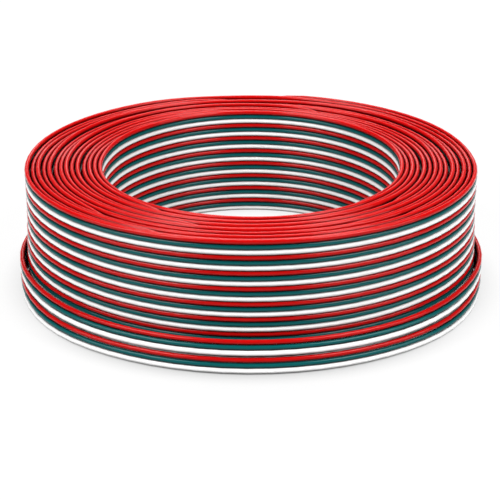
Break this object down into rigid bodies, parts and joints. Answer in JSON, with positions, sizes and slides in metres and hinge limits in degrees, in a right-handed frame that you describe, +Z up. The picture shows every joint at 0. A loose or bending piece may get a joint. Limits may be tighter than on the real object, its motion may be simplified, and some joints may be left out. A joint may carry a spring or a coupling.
{
  "type": "coil of three-core flat cable",
  "caption": "Flat ribbon cable of red, green and white insulated cores, wound on edge into a short round coil with loose outer turns, for wiring LED strips and low-voltage circuits.",
  "frame": {"origin": "on the floor, under the middle of the coil's outside", "axes": "+Z up along the coil's axis, -Y towards the side that the picture shows, where the layers are tight"},
  "size_m": [0.1666, 0.1666, 0.0408],
  "materials": {
    "cable_turns": "glossy PVC",
    "red_insulation": "glossy PVC",
    "green_insulation": "glossy PVC",
    "white_insulation": "glossy PVC",
    "copper": "bare stranded copper, cut square"
  },
  "bodies": {
    "root": {"cable_coil": "cable_turns", "red_core_end": "red_insulation", "green_core_end": "green_insulation", "white_core_end": "white_insulation", "red_conductor": "copper", "green_conductor": "copper", "white_conductor": "copper"}
  },
  "joints": []
}
